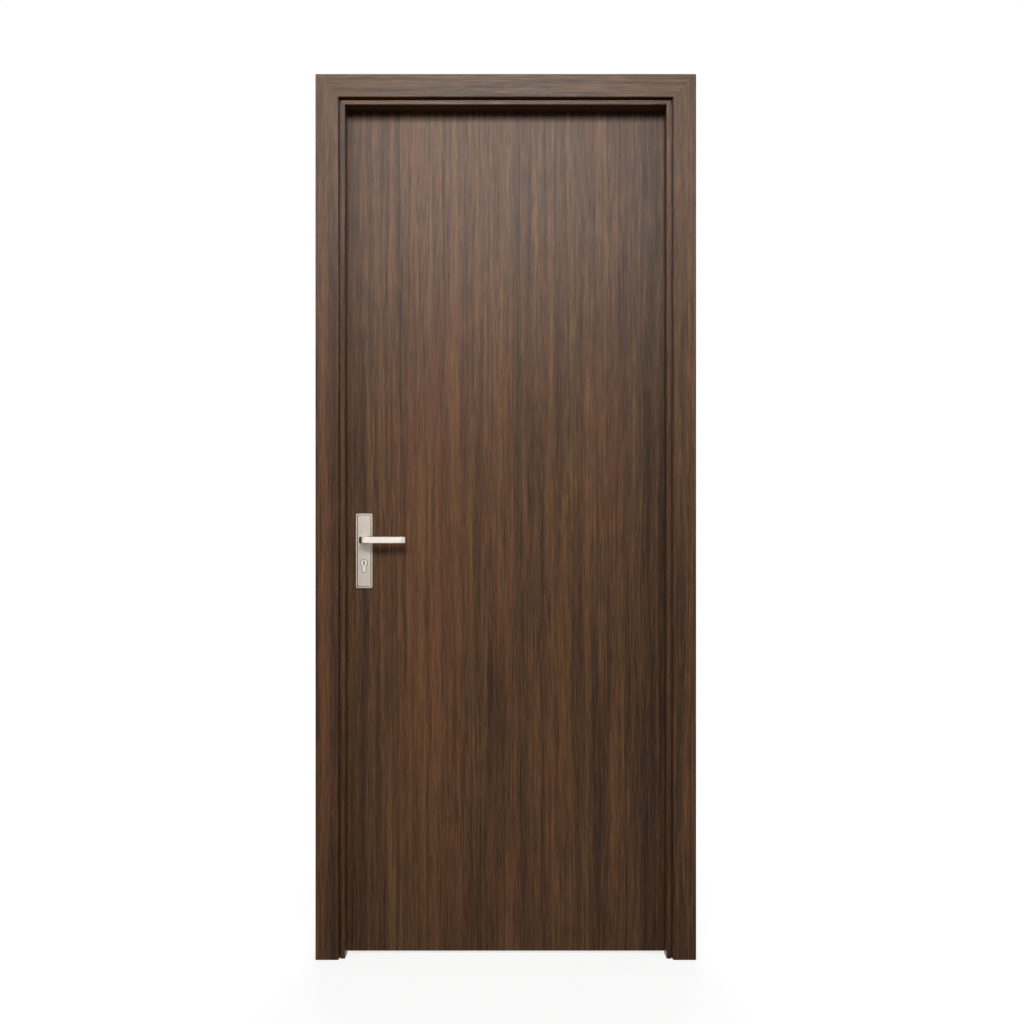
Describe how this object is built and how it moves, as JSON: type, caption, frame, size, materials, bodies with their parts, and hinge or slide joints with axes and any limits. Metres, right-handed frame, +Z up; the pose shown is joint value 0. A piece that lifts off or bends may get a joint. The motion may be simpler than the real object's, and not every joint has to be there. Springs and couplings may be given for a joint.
{
  "type": "flush pvc door",
  "caption": "Flush wood-grain PVC door leaf hung in a mitred PVC frame with flat architraves, with a bent flat lever on a long bevelled plate over a euro-profile cylinder.",
  "frame": {"origin": "on the hinge jamb's wall face, at floor level and at mid depth of the frame", "axes": "+Z up, +X out of the hinge jamb into the wall, +Y from the front (stop side) to the back, the way the leaf opens"},
  "size_m": [0.958, 0.181, 2.229],
  "materials": {
    "frame_woodgrain": "satin dark walnut film",
    "leaf_woodgrain": "satin dark walnut film",
    "seal_rubber": "matt black",
    "satin_nickel": "satin nickel plate",
    "cylinder_nickel": "nickel-plated brass",
    "hinge_steel": "satin stainless",
    "lock_steel": "satin stainless"
  },
  "bodies": {
    "frame": {"lock_jamb": "frame_woodgrain", "hinge_jamb": "frame_woodgrain", "head_jamb": "frame_woodgrain", "lock_stop": "frame_woodgrain", "hinge_stop": "frame_woodgrain", "head_stop": "frame_woodgrain", "lock_seal": "seal_rubber", "hinge_seal": "seal_rubber", "head_seal": "seal_rubber", "front_lock_architrave": "frame_woodgrain", "front_hinge_architrave": "frame_woodgrain", "front_head_architrave": "frame_woodgrain", "back_lock_architrave": "frame_woodgrain", "back_hinge_architrave": "frame_woodgrain", "back_head_architrave": "frame_woodgrain", "strike_plate": "lock_steel", "top_hinge_jamb_flap": "hinge_steel", "middle_hinge_jamb_flap": "hinge_steel", "bottom_hinge_jamb_flap": "hinge_steel", "top_hinge_pin": "hinge_steel", "middle_hinge_pin": "hinge_steel", "bottom_hinge_pin": "hinge_steel"},
    "leaf": {"front_skin": "leaf_woodgrain", "back_skin": "leaf_woodgrain", "lock_stile": "leaf_woodgrain", "hinge_stile": "leaf_woodgrain", "top_rail": "leaf_woodgrain", "bottom_rail": "leaf_woodgrain", "mortise_lock": "lock_steel", "latch_bolt": "lock_steel", "dead_bolt": "lock_steel", "lock_cylinder": "cylinder_nickel", "front_handle_plate": "satin_nickel", "back_handle_plate": "satin_nickel", "top_hinge_leaf_flap": "hinge_steel", "middle_hinge_leaf_flap": "hinge_steel", "bottom_hinge_leaf_flap": "hinge_steel"},
    "lever_set": {"front_lever": "satin_nickel", "back_lever": "satin_nickel", "spindle": "lock_steel"}
  },
  "joints": [
    {"name": "leaf_swing", "type": "hinge", "parent": "frame", "child": "leaf", "pos_m": [-0.0325, 0.064, 1.0845], "axis": [0, 0, -1], "range_deg": [0, 170]},
    {"name": "lever_turn", "type": "hinge", "parent": "leaf", "child": "lever_set", "pos_m": [-0.813, 0.035, 1.0575], "axis": [0, 1, 0], "range_deg": [0, 40], "stiffness_Nm_per_rad": 1.5, "springref_deg": -20.05}
  ]
}
